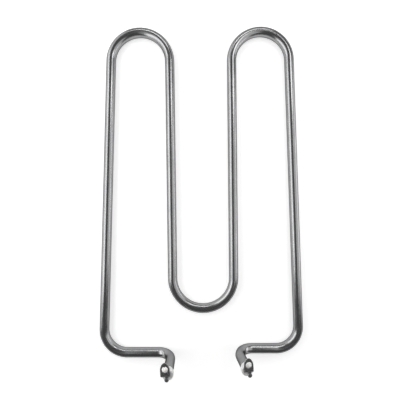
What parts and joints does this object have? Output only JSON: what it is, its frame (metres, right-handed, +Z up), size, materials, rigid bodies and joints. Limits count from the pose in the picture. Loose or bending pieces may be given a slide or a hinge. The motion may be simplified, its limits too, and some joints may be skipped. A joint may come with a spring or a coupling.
{
  "type": "tubular heating element",
  "caption": "Flat serpentine tubular heater with both ends turned up into ceramic-beaded terminals with screw lugs.",
  "frame": {"origin": "middle of the element's outline, on the surface that its tube lies on", "axes": "+Z up, along the left terminal stub; +Y from the terminal end towards the two closed bends; +X from the left stub to the right one"},
  "size_m": [0.1872, 0.3049, 0.0448],
  "materials": {
    "sheath_steel": "bright drawn stainless steel",
    "pin_steel": "nickel-plated steel",
    "bead_ceramic": "white steatite, lightly glazed",
    "seal_silicone": "cured silicone sealant",
    "lug_plating": "nickel-plated steel strip"
  },
  "bodies": {
    "root": {"sheath": "sheath_steel", "cold_pin_left": "pin_steel", "cold_pin_right": "pin_steel", "ceramic_bead_left": "bead_ceramic", "ceramic_bead_right": "bead_ceramic", "end_seal_left": "seal_silicone", "end_seal_right": "seal_silicone", "terminal_lug_left": "lug_plating", "terminal_lug_right": "lug_plating"}
  },
  "joints": []
}
